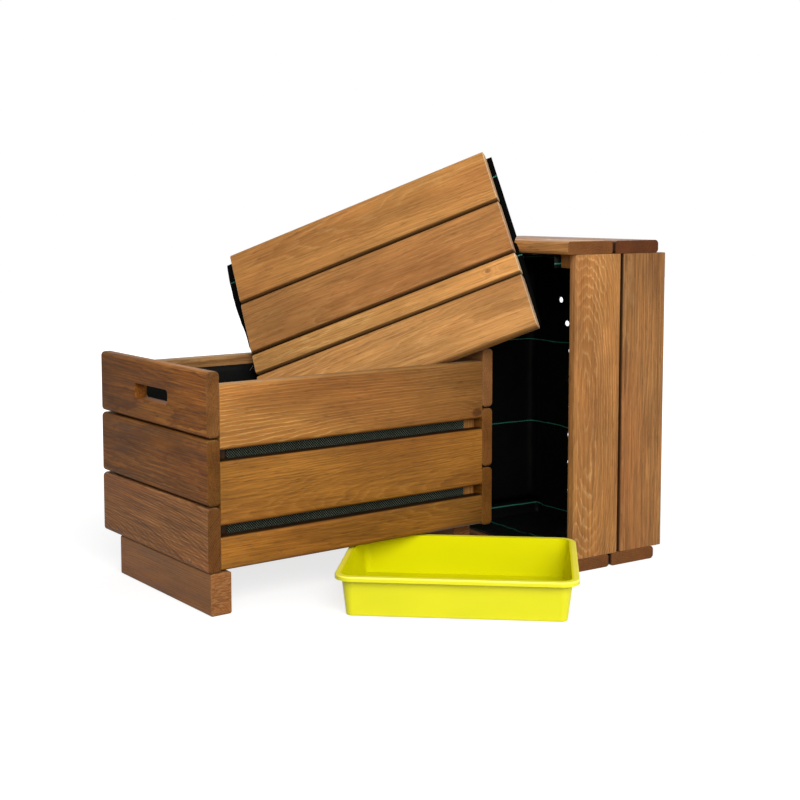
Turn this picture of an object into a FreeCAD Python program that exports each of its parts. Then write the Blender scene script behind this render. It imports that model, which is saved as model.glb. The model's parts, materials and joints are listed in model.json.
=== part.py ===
import FreeCAD, Part
import math
import os
import Sketcher

# A wooden wormery: two slatted pine crates with cloth linings, a slatted lid and a drip tray.
# It is laid out taken apart: the base crate on its skids, the upper crate stood on one end,
# the lid leaning on the base crate's front board, and the tray half under the base crate.
# X runs along the base crate, Y from its front to its back, Z up, and the floor is at zero.
# All sizes are in millimetres and degrees.

document = FreeCAD.newDocument("Wormery")
sheet = document.addObject("Spreadsheet::Sheet", "Sizes")

sizes = {
    # planed pine boards
    "boardThick": 21,
    "boardWidth": 95,
    "boardRound": 6.5,
    "endEase": 1.2,
    # crates
    "crateLength": 530,
    "endGap": 3,
    "sideGap": 15,
    "sideStep": 19,
    "frontLift": 2,
    "postSize": 22,
    "postEase": 2,
    "postDrop": 23,
    # hand holds
    "slotLength": 106,
    "slotHeight": 22,
    "slotCorner": 6,
    "slotRise": 45,
    "slotEase": 2,
    # skids and floor slats of the base crate
    "skidHeight": 62,
    "skidWidth": 34,
    "skidLength": 294,
    "skidInset": 3.5,
    "slatWidth": 62,
    "slatThick": 18,
    "slatCount": 4,
    "slatEase": 2.5,
    # bearers under the upper crate
    "bearerWidth": 40,
    "bearerThick": 18,
    "bearerCount": 3,
    # cloth linings
    "clothThick": 1,
    "clothPlay": 0.3,
    "clothDrop": 36,
    "clothEndDrop": 9,
    "clothBelowSlot": 8,
    "punchRadius": 5,
    "punchPitch": 50,
    "punchRows": 9,
    "punchShift": 13,
    "punchApart": 78,
    # lid
    "lidGap": 3,
    "lidNarrow": 37,
    "lidInset": 7.5,
    "lidEndPlay": 8,
    "cleatWidth": 40,
    "cleatThick": 18,
    "cleatInset": 20,
    "cleatFromEnd": 60,
    "lidClothThick": 0.8,
    "lidClothPastLeft": 17,
    "lidClothPastRight": 3,
    "lidClothInset": 6,
    "lidClothTuck": 1,
    "lidClothKnee": 155,
    # tray
    "trayLength": 317,
    "trayDepth": 232,
    "trayHeight": 61.2,
    "trayFlare": 7.6,
    "trayWall": 2,
    "trayCorner": 10,
    "trayLip": 9,
    "trayLipDrop": 6.8,
    "trayLipRound": 2.2,
    "trayFootRound": 2,
    # screws, nails and staples
    "screwHead": 3.5,
    "screwSink": 2.2,
    "screwShank": 1.75,
    "screwLength": 36,
    "cleatScrewLength": 31,
    "nailHead": 2.2,
    "nailSink": 1.2,
    "nailShank": 1,
    "nailLength": 38,
    "nailRise": 9,
    "staplePitch": 140,
    "stapleBelow": 8,
    "stapleCrown": 10,
    "stapleWire": 1.1,
    "stapleLeg": 8,
    # where the pieces of the set stand
    "baseLeft": -397.1,
    "baseFront": -47.9,
    "upperAway": 33.1,
    "upperForward": 139.4,
    "upperTurn": 3.29,
    "lidTurn": -49.07,
    "lidRise": -21.75,
    "lidLean": 65.28,
    "lidFromBack": 109.6,
    "lidSeatGap": 0.3,
    "lidLeanGap": 0.8,
    "trayAlong": 356.8,
    "trayForward": 129.7,
    "trayTurn": -42.55,
}
for row, (alias, value) in enumerate(sizes.items(), start=1):
    sheet.set(f"A{row}", str(value))
    sheet.setAlias(f"A{row}", alias)
document.recompute()


def size(alias):
    return float(sheet.get(alias))


def vector(x, y, z):
    return FreeCAD.Vector(x, y, z)


xAxis = vector(1, 0, 0)
yAxis = vector(0, 1, 0)
zAxis = vector(0, 0, 1)

thick = size("boardThick")
width = size("boardWidth")
crateLength = size("crateLength")
innerLength = crateLength - 2 * thick
lidBoardCount = 3
lidWidth = lidBoardCount * (width + size("lidGap")) + size("lidNarrow")
crateDepth = lidWidth + 2 * size("lidInset")
innerDepth = crateDepth - 2 * thick
post = size("postSize")
lidLength = innerLength - size("lidEndPlay")
foot = size("skidHeight")
slotFloor = size("slotRise") - size("slotHeight") / 2

lidWidthFormula = "(3 * (Sizes.boardWidth + Sizes.lidGap) + Sizes.lidNarrow)"
depthFormula = f"({lidWidthFormula} + 2 * Sizes.lidInset)"
innerLengthFormula = "(Sizes.crateLength - 2 * Sizes.boardThick)"
lidLengthFormula = f"({innerLengthFormula} - Sizes.lidEndPlay)"
innerDepthFormula = f"({depthFormula} - 2 * Sizes.boardThick)"


# Sketches and solids

def originPlane(body, role):
    for feature in body.Origin.OriginFeatures:
        if feature.Role == role:
            return feature
    raise ValueError(f"{body.Name} has no plane {role}")


def newSketch(body, name, role, lift=None):
    sketch = body.newObject("Sketcher::SketchObject", name)
    sketch.AttachmentSupport = [(originPlane(body, role), "")]
    sketch.MapMode = "FlatFace"
    if lift:
        sketch.setExpression("AttachmentOffset.Base.z", lift)
    return sketch


def boundDistance(sketch, kind, firstEdge, firstEnd, lastEdge, lastEnd, start, formula):
    index = sketch.addConstraint(
        Sketcher.Constraint(kind, firstEdge, firstEnd, lastEdge, lastEnd, start)
    )
    sketch.setExpression(f"Constraints[{index}]", formula)


def drawRectangle(sketch, wideFormula, highFormula):
    # One corner lies on the sketch's origin.
    side = 10
    corners = [vector(0, 0, 0), vector(side, 0, 0), vector(side, side, 0), vector(0, side, 0)]
    for index in range(4):
        line = Part.LineSegment(corners[index], corners[(index + 1) % 4])
        sketch.addGeometry(line, False)
    for index in range(4):
        sketch.addConstraint(Sketcher.Constraint("Coincident", index, 2, (index + 1) % 4, 1))
    for index, kind in enumerate(["Horizontal", "Vertical", "Horizontal", "Vertical"]):
        sketch.addConstraint(Sketcher.Constraint(kind, index))
    sketch.addConstraint(Sketcher.Constraint("Coincident", 0, 1, -1, 1))
    boundDistance(sketch, "DistanceX", 0, 1, 0, 2, side, wideFormula)
    boundDistance(sketch, "DistanceY", 1, 1, 1, 2, side, highFormula)


def drawOutline(sketch, outline):
    # Each corner is a pair of a distance along X and one along Y, as values and formulas.
    count = len(outline)
    corners = [vector(along[0], across[0], 0) for along, across in outline]
    for index in range(count):
        line = Part.LineSegment(corners[index], corners[(index + 1) % count])
        sketch.addGeometry(line, False)
    for index, (along, across) in enumerate(outline):
        before = (index - 1) % count
        sketch.addConstraint(Sketcher.Constraint("Coincident", before, 2, index, 1))
        boundDistance(sketch, "DistanceX", -1, 1, index, 1, along[0], along[1])
        boundDistance(sketch, "DistanceY", -1, 1, index, 1, across[0], across[1])


def drawRoundedRectangle(sketch, centre, wide, high, corner):
    # Each of centre, wide, high and corner is a pair of a starting value and its formula.
    # The start is close to the finished outline, so that the constraints settle on it.
    centreX, centreY = centre[0]
    halfWide = wide[0] / 2
    halfHigh = high[0] / 2
    radius = corner[0]
    for turn in range(4):
        signX = [1, 1, -1, -1][turn]
        signY = [-1, 1, 1, -1][turn]
        middle = vector(
            centreX + signX * (halfWide - radius), centreY + signY * (halfHigh - radius), 0
        )
        circle = Part.Circle(middle, zAxis, radius)
        startAngle = -math.pi / 2 + turn * math.pi / 2
        sketch.addGeometry(Part.ArcOfCircle(circle, startAngle, startAngle + math.pi / 2), False)
    for turn in range(4):
        start = sketch.Geometry[turn].EndPoint
        end = sketch.Geometry[(turn + 1) % 4].StartPoint
        line = sketch.addGeometry(Part.LineSegment(start, end), False)
        sketch.addConstraint(Sketcher.Constraint("Tangent", turn, 2, line, 1))
        sketch.addConstraint(Sketcher.Constraint("Tangent", line, 2, (turn + 1) % 4, 1))
    # The lines run up the right side, along the top, down the left side and along the bottom.
    sketch.addConstraint(Sketcher.Constraint("Vertical", 4))
    sketch.addConstraint(Sketcher.Constraint("Horizontal", 5))
    for turn in range(1, 4):
        sketch.addConstraint(Sketcher.Constraint("Equal", 0, turn))
    radiusIndex = sketch.addConstraint(Sketcher.Constraint("Radius", 0, radius))
    sketch.setExpression(f"Constraints[{radiusIndex}]", corner[1])
    boundDistance(sketch, "DistanceX", 6, 1, 4, 1, wide[0], wide[1])
    boundDistance(sketch, "DistanceY", 7, 1, 5, 1, high[0], high[1])
    originPoint = (-1, 1)
    boundDistance(
        sketch, "DistanceX", *originPoint, 4, 1, centreX + halfWide,
        f"{centre[1][0]} + ({wide[1]}) / 2",
    )
    boundDistance(
        sketch, "DistanceY", *originPoint, 5, 1, centreY + halfHigh,
        f"{centre[1][1]} + ({high[1]}) / 2",
    )


def edgeNames(shape, wanted):
    return [f"Edge{index}" for index, edge in enumerate(shape.Edges, start=1) if wanted(edge)]


def roundEdges(body, name, base, edges, radiusFormula):
    fillet = body.newObject("PartDesign::Fillet", name)
    fillet.Base = (base, edges)
    fillet.setExpression("Radius", radiusFormula)
    document.recompute()
    return fillet


def makeBar(name, lengthFormula, thickFormula, widthFormula, roundFormula, easeFormula=None):
    # A bar lies along X, with its thickness along Y and its width along Z.
    body = document.addObject("PartDesign::Body", name)
    sketch = newSketch(body, name + "_section", "YZ_Plane")
    drawRectangle(sketch, thickFormula, widthFormula)
    pad = body.newObject("PartDesign::Pad", name + "_length")
    pad.Profile = sketch
    pad.setExpression("Length", lengthFormula)
    document.recompute()

    def runsAlong(edge):
        return abs(edge.tangentAt(edge.FirstParameter).x) > 0.99

    rounded = roundEdges(
        body, name + "_round", pad, edgeNames(pad.Shape, runsAlong), roundFormula
    )
    if easeFormula:
        ends = (rounded.Shape.BoundBox.XMin, rounded.Shape.BoundBox.XMax)

        def liesOnEnd(edge):
            box = edge.BoundBox
            return box.XLength < 0.001 and min(abs(box.XMin - end) for end in ends) < 0.001

        rounded = roundEdges(
            body, name + "_ease", rounded, edgeNames(rounded.Shape, liesOnEnd), easeFormula
        )
    return body


def cutHandHold(body):
    # The slot goes right through the thickness, half way along the board.
    name = body.Name
    before = body.Shape.Volume
    sketch = newSketch(body, name + "_slot_outline", "XZ_Plane")
    drawRoundedRectangle(
        sketch,
        ((crateDepth / 2, size("slotRise")), (f"{depthFormula} / 2", "Sizes.slotRise")),
        (size("slotLength"), "Sizes.slotLength"),
        (size("slotHeight"), "Sizes.slotHeight"),
        (size("slotCorner"), "Sizes.slotCorner"),
    )
    pocket = body.newObject("PartDesign::Pocket", name + "_slot")
    pocket.Profile = sketch
    pocket.Type = "ThroughAll"
    document.recompute()
    if abs(pocket.Shape.Volume - before) < 1:
        pocket.Reversed = True
        document.recompute()
    if pocket.Shape.Volume > before - 1:
        raise ValueError(f"the slot of {name} cuts nothing")
    halfLength = size("slotLength") / 2 + 1
    halfHeight = size("slotHeight") / 2 + 1

    def rimsSlot(edge):
        box = edge.BoundBox
        flat = box.YLength < 0.001
        alongSlot = abs((box.XMin + box.XMax) / 2 - crateDepth / 2) < halfLength
        besideSlot = abs((box.ZMin + box.ZMax) / 2 - size("slotRise")) < halfHeight
        short = box.XLength < size("slotLength") + 1
        return flat and alongSlot and besideSlot and short

    roundEdges(
        body, name + "_slot_ease", pocket, edgeNames(pocket.Shape, rimsSlot), "Sizes.slotEase"
    )


# Fasteners are copies of one shape, gathered in a group that also drills its own seats.

def headedShape(headRadius, sink, shankRadius, length):
    # The head's flat top lies at the origin and the shank points down.
    head = Part.makeCone(shankRadius, headRadius, sink, vector(0, 0, -sink), zAxis)
    tipLength = 2 * shankRadius
    shank = Part.makeCylinder(
        shankRadius, length - tipLength - sink, vector(0, 0, tipLength - length), zAxis
    )
    tip = Part.makeCone(shankRadius / 4, shankRadius, tipLength, vector(0, 0, -length), zAxis)
    return head.fuse([shank, tip]).removeSplitter()


def stapleShape():
    # The crown lies along X on the cloth and the two legs point down.
    wire = size("stapleWire")
    crown = size("stapleCrown")
    leg = size("stapleLeg")
    shape = Part.makeBox(crown, wire, wire, vector(-crown / 2, -wire / 2, 0))
    for side in (-crown / 2, crown / 2 - wire):
        shape = shape.fuse(Part.makeBox(wire, wire, leg, vector(side, -wire / 2, -leg)))
    return shape.removeSplitter()


def facing(direction, spin=0):
    # Turns a fastener's head to face the given way.
    turn = FreeCAD.Rotation(zAxis, direction)
    return turn.multiply(FreeCAD.Rotation(zAxis, spin))


def fastenerGroup(name, shape, seats, place):
    copies = []
    for point, turn in seats:
        copy = shape.copy()
        copy.Placement = place.multiply(FreeCAD.Placement(point, turn))
        copies.append(copy)
    group = document.addObject("Part::Feature", name)
    group.Label = name
    group.Shape = Part.makeCompound(copies)
    return group


finished = []


def finish(name, piece, groups=()):
    # Seats every fastener that reaches into the piece, and names the piece.
    document.recompute()
    reaching = []
    for group in groups:
        if piece.Shape.BoundBox.intersect(group.Shape.BoundBox):
            reaching.append(group)
    for group in reaching:
        drilled = document.addObject("Part::Cut", f"{name}_with_{group.Name}")
        drilled.Base = piece
        drilled.Tool = group
        document.recompute()
        piece = drilled
    piece.Label = name
    finished.append(piece)
    return piece


def atRest(point, turn=None):
    return FreeCAD.Placement(point, turn or FreeCAD.Rotation())


alongY = FreeCAD.Rotation(zAxis, 90)
upright = FreeCAD.Rotation(yAxis, -90)


def placeBar(body, place, point, turn=None):
    body.Placement = place.multiply(atRest(point, turn))


# Crates, each built in its own frame with its lowest end board's edge at zero height

def endBoards(prefix, tiers, place, groups):
    for side, outerX in (("left", thick), ("right", crateLength)):
        for index, tier in enumerate(tiers):
            name = f"{prefix}_{side}_end_{tier}_board"
            board = makeBar(
                name + "_blank", depthFormula, "Sizes.boardThick", "Sizes.boardWidth",
                "Sizes.boardRound", "Sizes.endEase",
            )
            if tier == "top":
                cutHandHold(board)
            rise = index * (width + size("endGap"))
            placeBar(board, place, vector(outerX, 0, rise), alongY)
            finish(name, board, groups)


def sideBoards(prefix, tiers, place, groups):
    # Each tier is its name, its lower edge's height and its width's formula.
    for side, frontY in (("front", 0), ("back", crateDepth - thick)):
        for tier, rise, widthFormula in tiers:
            name = f"{prefix}_{side}_{tier}_board"
            board = makeBar(
                name + "_blank", innerLengthFormula, "Sizes.boardThick", widthFormula,
                "Sizes.boardRound", "Sizes.endEase",
            )
            placeBar(board, place, vector(thick, frontY, rise))
            finish(name, board, groups)


def cornerPosts(prefix, foldedUp, topHeight, heightFormula, place, groups):
    for side, rightX in (("left", thick + post), ("right", crateLength - thick)):
        for face, frontY in (("front", thick), ("back", crateDepth - thick - post)):
            name = f"{prefix}_post_{face}_{side}"
            bar = makeBar(
                name + "_blank", heightFormula, "Sizes.postSize", "Sizes.postSize",
                "Sizes.postEase",
            )
            placeBar(bar, place, vector(rightX, frontY, foldedUp), upright)
            finish(name, bar, groups)


def postScrewSeats(endHeights, sideHeights):
    # Screws go in from the inner faces of the posts, where the lining hides their heads.
    seats = []
    middle = post / 2
    for signX, innerX in ((-1, thick + post), (1, crateLength - thick - post)):
        for signY, innerY in ((-1, thick + post), (1, crateDepth - thick - post)):
            for height in endHeights:
                point = vector(innerX, innerY + signY * middle, height)
                seats.append((point, facing(vector(-signX, 0, 0))))
            for height in sideHeights:
                point = vector(innerX + signX * middle, innerY, height)
                seats.append((point, facing(vector(0, -signY, 0))))
    return seats


def liningStapleSeats(sideHeight, endHeight):
    # Slanted staples hold the lining's upper hem to the boards.
    seats = []
    clothFace = thick + size("clothPlay") + size("clothThick")
    pitch = size("staplePitch")
    for step in (-1, 0, 1):
        along = crateLength / 2 + step * pitch
        front = vector(along, clothFace, sideHeight)
        seats.append((front, facing(yAxis, 45)))
        back = vector(along, crateDepth - clothFace, sideHeight)
        seats.append((back, facing(-yAxis, 45)))
    for step in (-0.5, 0.5):
        across = crateDepth / 2 + step * pitch
        seats.append((vector(clothFace, across, endHeight), facing(xAxis, 45)))
        seats.append((vector(crateLength - clothFace, across, endHeight), facing(-xAxis, 45)))
    return seats


def clothBox(name, inset, x0, y0, z0, z1, place):
    box = document.addObject("Part::Box", name)
    box.Length = crateLength - 2 * x0 - 2 * inset
    box.Width = crateDepth - 2 * y0 - 2 * inset
    box.Height = z1 - z0
    box.Placement = place.multiply(atRest(vector(x0 + inset, y0 + inset, z0)))
    return box


def lining(name, floorHeight, sideTop, endTop, place, groups, punch=None):
    # An open bag of cloth that follows the boards and steps in round the four corner posts.
    play = size("clothPlay")
    skin = size("clothThick")
    board = thick + play
    pastPost = thick + post + play
    floor = floorHeight + play
    above = max(sideTop, endTop) + thick
    outer = document.addObject("Part::MultiFuse", name + "_outer")
    outer.Shapes = [
        clothBox(name + "_outer_long", 0, pastPost, board, floor, sideTop, place),
        clothBox(name + "_outer_wide", 0, board, pastPost, floor, endTop, place),
    ]
    inner = document.addObject("Part::MultiFuse", name + "_inner")
    inner.Shapes = [
        clothBox(name + "_inner_long", skin, pastPost, board, floor + skin, above, place),
        clothBox(name + "_inner_wide", skin, board, pastPost, floor + skin, above, place),
    ]
    bag = document.addObject("Part::Cut", name + "_bag")
    bag.Base = outer
    bag.Tool = inner
    document.recompute()
    if punch:
        punched = document.addObject("Part::Cut", name + "_punched")
        punched.Base = bag
        punched.Tool = punch
        bag = punched
    return finish(name, bag, groups)


def punchTool(name, floorHeight, place):
    # Two rows of round holes let worms and water through the upper crate's floor.
    plugs = []
    depth = 4 * size("clothThick")
    middleRow = (size("punchRows") - 1) / 2
    for row in range(int(size("punchRows"))):
        along = crateLength / 2 + size("punchShift") + (row - middleRow) * size("punchPitch")
        for side in (-0.5, 0.5):
            point = vector(along, crateDepth / 2 + side * size("punchApart"), floorHeight - depth / 2)
            plug = Part.makeCylinder(size("punchRadius"), depth)
            plug.Placement = place.multiply(atRest(point))
            plugs.append(plug)
    tool = document.addObject("Part::Feature", name)
    tool.Shape = Part.makeCompound(plugs)
    return tool


def baseCrate(place):
    step = width + size("endGap")
    endHeight = 3 * width + 2 * size("endGap")
    sideTop = endHeight - size("sideStep")
    topRise = sideTop - width
    middleRise = topRise - size("sideGap") - width
    bottomRise = size("frontLift")
    bottomFormula = (
        "3 * Sizes.boardWidth + 2 * Sizes.endGap - Sizes.sideStep - 2 * Sizes.boardWidth"
        " - 2 * Sizes.sideGap - Sizes.frontLift"
    )
    bottomWidth = middleRise - size("sideGap") - bottomRise
    endHeights = [index * step + width / 2 for index in range(3)]
    sideHeights = [bottomRise + bottomWidth / 2, middleRise + width / 2, topRise + width / 2]
    screws = fastenerGroup(
        "base_screws",
        headedShape(size("screwHead"), size("screwSink"), size("screwShank"), size("screwLength")),
        postScrewSeats(endHeights, sideHeights),
        place,
    )
    slatThick = size("slatThick")
    slatPitch = (innerDepth - size("slatWidth")) / (size("slatCount") - 1)
    slatMiddles = [
        thick + size("slatWidth") / 2 + index * slatPitch for index in range(int(size("slatCount")))
    ]
    nailSeats = []
    for middle in slatMiddles:
        nailSeats.append((vector(0, middle, size("nailRise")), facing(-xAxis)))
        nailSeats.append((vector(crateLength, middle, size("nailRise")), facing(xAxis)))
    nails = fastenerGroup(
        "base_floor_nails",
        headedShape(size("nailHead"), size("nailSink"), size("nailShank"), size("nailLength")),
        nailSeats,
        place,
    )
    clothSideTop = endHeight - size("clothDrop")
    clothEndTop = 2 * step + slotFloor - size("clothBelowSlot")
    staples = fastenerGroup(
        "base_lining_staples",
        stapleShape(),
        liningStapleSeats(clothSideTop - size("stapleBelow"), clothEndTop - size("stapleBelow")),
        place,
    )
    endBoards("base", ["bottom", "middle", "top"], place, [screws, nails, staples])
    sideBoards(
        "base",
        [
            ("bottom", bottomRise, bottomFormula),
            ("middle", middleRise, "Sizes.boardWidth"),
            ("top", topRise, "Sizes.boardWidth"),
        ],
        place,
        [screws, staples],
    )
    postFormula = (
        "3 * Sizes.boardWidth + 2 * Sizes.endGap - Sizes.postDrop - Sizes.slatThick"
    )
    cornerPosts("base", slatThick, endHeight, postFormula, place, [screws])
    for index, middle in enumerate(slatMiddles, start=1):
        slat = makeBar(
            f"base_floor_slat_{index}_blank", innerLengthFormula, "Sizes.slatWidth",
            "Sizes.slatThick", "Sizes.slatEase",
        )
        placeBar(slat, place, vector(thick, middle - size("slatWidth") / 2, 0))
        finish(f"base_floor_slat_{index}", slat, [nails])
    # The two end frames are alike and turned about, so one skid is flush in front
    # and the other is flush at the back.
    rightSkidX = crateLength - size("skidInset")
    skids = (
        ("left", size("skidInset") + size("skidWidth"), 0),
        ("right", rightSkidX, crateDepth - size("skidLength")),
    )
    for side, outerX, frontY in skids:
        skid = makeBar(
            f"base_skid_{side}_blank", "Sizes.skidLength", "Sizes.skidWidth",
            "Sizes.skidHeight", "Sizes.boardRound / 2", "Sizes.endEase",
        )
        placeBar(skid, place, vector(outerX, frontY, -foot), alongY)
        finish(f"base_skid_{side}", skid)
    lining("base_lining", slatThick, clothSideTop, clothEndTop, place, [staples])
    finished.extend([screws, nails, staples])


def upperCrate(place):
    step = width + size("endGap")
    endHeight = 2 * width + size("endGap")
    lowRise = -size("sideStep")
    topRise = lowRise + step
    endHeights = [width / 2, step + width / 2]
    sideHeights = [lowRise + width / 2, topRise + width / 2]
    screws = fastenerGroup(
        "upper_screws",
        headedShape(size("screwHead"), size("screwSink"), size("screwShank"), size("screwLength")),
        postScrewSeats(endHeights, sideHeights),
        place,
    )
    clothSideTop = endHeight - size("clothDrop")
    clothEndTop = endHeight - size("clothEndDrop")
    staples = fastenerGroup(
        "upper_lining_staples",
        stapleShape(),
        liningStapleSeats(clothSideTop - size("stapleBelow"), clothEndTop - size("stapleBelow")),
        place,
    )
    endBoards("upper", ["bottom", "top"], place, [screws, staples])
    sideBoards(
        "upper",
        [("bottom", lowRise, "Sizes.boardWidth"), ("top", topRise, "Sizes.boardWidth")],
        place,
        [screws, staples],
    )
    postFormula = "2 * Sizes.boardWidth + Sizes.endGap - Sizes.postDrop"
    cornerPosts("upper", 0, endHeight, postFormula, place, [screws])
    bearerWidth = size("bearerWidth")
    bearerPitch = (innerLength - bearerWidth) / (size("bearerCount") - 1)
    for index in range(int(size("bearerCount"))):
        name = f"upper_bearer_{index + 1}"
        bearer = makeBar(
            name + "_blank", innerDepthFormula, "Sizes.bearerWidth", "Sizes.bearerThick",
            "Sizes.slatEase",
        )
        rightX = thick + bearerWidth + index * bearerPitch
        placeBar(bearer, place, vector(rightX, thick, -size("bearerThick")), alongY)
        finish(name, bearer)
    punch = punchTool("upper_punch", size("clothPlay"), place)
    lining("upper_lining", 0, clothSideTop, clothEndTop, place, [staples], punch)
    finished.extend([screws, staples])


# Lid, built flat with its top face at zero height and its lower long edge along X

def lidPieces(place):
    turnFlat = FreeCAD.Rotation(xAxis, -90)
    rise = 0
    boards = []
    gap = size("lidGap")
    narrow = size("lidNarrow")
    for name, boardWide, formula in (
        ("lid_front_board", width, "Sizes.boardWidth"),
        ("lid_narrow_board", narrow, "Sizes.lidNarrow"),
        ("lid_middle_board", width, "Sizes.boardWidth"),
        ("lid_back_board", width, "Sizes.boardWidth"),
    ):
        boards.append((name, rise, boardWide, formula))
        rise += boardWide + gap
    clothTop = -thick - size("clothPlay")
    clothBottom = clothTop - size("lidClothThick")
    cleatTop = clothBottom - size("clothPlay")
    cleatBottom = cleatTop - size("cleatThick")
    cleatMiddles = [
        size("cleatFromEnd") + size("cleatWidth") / 2,
        lidLength - size("cleatFromEnd") - size("cleatWidth") / 2,
    ]
    screwSeats = []
    for middle in cleatMiddles:
        for _, start, boardWide, _ in boards:
            across = min(max(start + boardWide / 2, size("cleatInset") + thick), lidWidth - thick)
            screwSeats.append((vector(middle, across, cleatBottom), facing(-zAxis)))
    screws = fastenerGroup(
        "lid_screws",
        headedShape(
            size("screwHead"), size("screwSink"), size("screwShank"), size("cleatScrewLength")
        ),
        screwSeats,
        place,
    )
    stapleSeats = []
    for along in (size("stapleCrown"), lidLength - size("stapleCrown")):
        for step in (-1, 0, 1):
            across = lidWidth / 2 + step * size("staplePitch") * 0.8
            stapleSeats.append((vector(along, across, clothBottom), facing(-zAxis, 90)))
    staples = fastenerGroup("lid_cloth_staples", stapleShape(), stapleSeats, place)
    for name, start, _, formula in boards:
        board = makeBar(
            name + "_blank", lidLengthFormula, "Sizes.boardThick", formula,
            "Sizes.boardRound", "Sizes.endEase",
        )
        placeBar(board, place, vector(0, start, 0), turnFlat)
        finish(name, board, [screws, staples])
    cleatFormula = f"{lidWidthFormula} - 2 * Sizes.cleatInset"
    for side, middle in zip(("left", "right"), cleatMiddles):
        cleat = makeBar(
            f"lid_cleat_{side}_blank", cleatFormula, "Sizes.cleatWidth", "Sizes.cleatThick",
            "Sizes.slatEase",
        )
        rightX = middle + size("cleatWidth") / 2
        placeBar(cleat, place, vector(rightX, size("cleatInset"), cleatBottom), alongY)
        finish(f"lid_cleat_{side}", cleat, [screws])
    cloth = lidCloth(clothBottom, place)
    finish("lid_cloth", cloth, [screws, staples])
    finished.extend([screws, staples])


def lidCloth(clothBottom, place):
    # The cloth hangs out past the lid's left end, more and more from the knee upwards.
    farEdge = f"({lidLengthFormula} + Sizes.lidClothPastRight)"
    topEdge = f"({lidWidthFormula} - Sizes.lidClothInset)"
    farX = lidLength + size("lidClothPastRight")
    topY = lidWidth - size("lidClothInset")
    tuck = size("lidClothTuck")
    outline = [
        ((-tuck, "0 - Sizes.lidClothTuck"), (size("lidClothInset"), "Sizes.lidClothInset")),
        ((farX, farEdge), (size("lidClothInset"), "Sizes.lidClothInset")),
        ((farX, farEdge), (topY, topEdge)),
        ((-size("lidClothPastLeft"), "0 - Sizes.lidClothPastLeft"), (topY, topEdge)),
        ((-tuck, "0 - Sizes.lidClothTuck"), (size("lidClothKnee"), "Sizes.lidClothKnee")),
    ]
    body = document.addObject("PartDesign::Body", "lid_cloth_sheet")
    sketch = newSketch(body, "lid_cloth_outline", "XY_Plane")
    drawOutline(sketch, outline)
    pad = body.newObject("PartDesign::Pad", "lid_cloth_thickness")
    pad.Profile = sketch
    pad.setExpression("Length", "Sizes.lidClothThick")
    document.recompute()
    body.Placement = place.multiply(atRest(vector(0, 0, clothBottom)))
    return body


def moveUntilClose(shape, obstacle, direction, gap):
    # The distance left is always a safe step, so the shape never runs into the obstacle.
    for _ in range(200):
        step = shape.distToShape(obstacle)[0] - gap
        if step < 0.002:
            return
        shape.translate(direction * step)
    raise ValueError("the lid finds nothing to rest on")


def crateBoards(prefix):
    boards = [
        piece.Shape for piece in finished
        if piece.Label.startswith(prefix) and piece.Label.endswith("_board")
    ]
    return Part.makeCompound(boards)


def lidPlace():
    # The lid is lowered onto the base crate until its lower edge rests on the front board,
    # and then pushed along until its back leans on the upper crate's rim.
    turn = FreeCAD.Rotation(size("lidTurn"), size("lidRise"), size("lidLean"))
    clothPast = size("lidClothPastRight")
    depthUnder = thick + size("clothPlay") + size("lidClothThick")
    slab = Part.makeBox(lidLength, width, thick, vector(0, 0, -thick))
    lowEdges = [edge for edge in slab.Edges if edge.BoundBox.XLength > lidLength / 2]
    lowBoard = slab.makeFillet(size("boardRound"), lowEdges)
    whole = Part.makeBox(lidLength + clothPast, lidWidth, depthUnder, vector(0, 0, -depthUnder))
    rightReach = turn.multVec(vector(lidLength, 0, 0)).x
    shortOfRim = crateLength / 10
    start = vector(
        size("baseLeft") + crateLength - rightReach - shortOfRim,
        size("baseFront") + crateDepth - size("lidFromBack"),
        foot + 3 * width,
    )
    lowBoard.Placement = FreeCAD.Placement(start, turn)
    moveUntilClose(lowBoard, crateBoards("base_"), -zAxis, size("lidSeatGap"))
    whole.Placement = lowBoard.Placement
    moveUntilClose(whole, crateBoards("upper_"), xAxis, size("lidLeanGap"))
    return whole.Placement


# Tray

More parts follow.
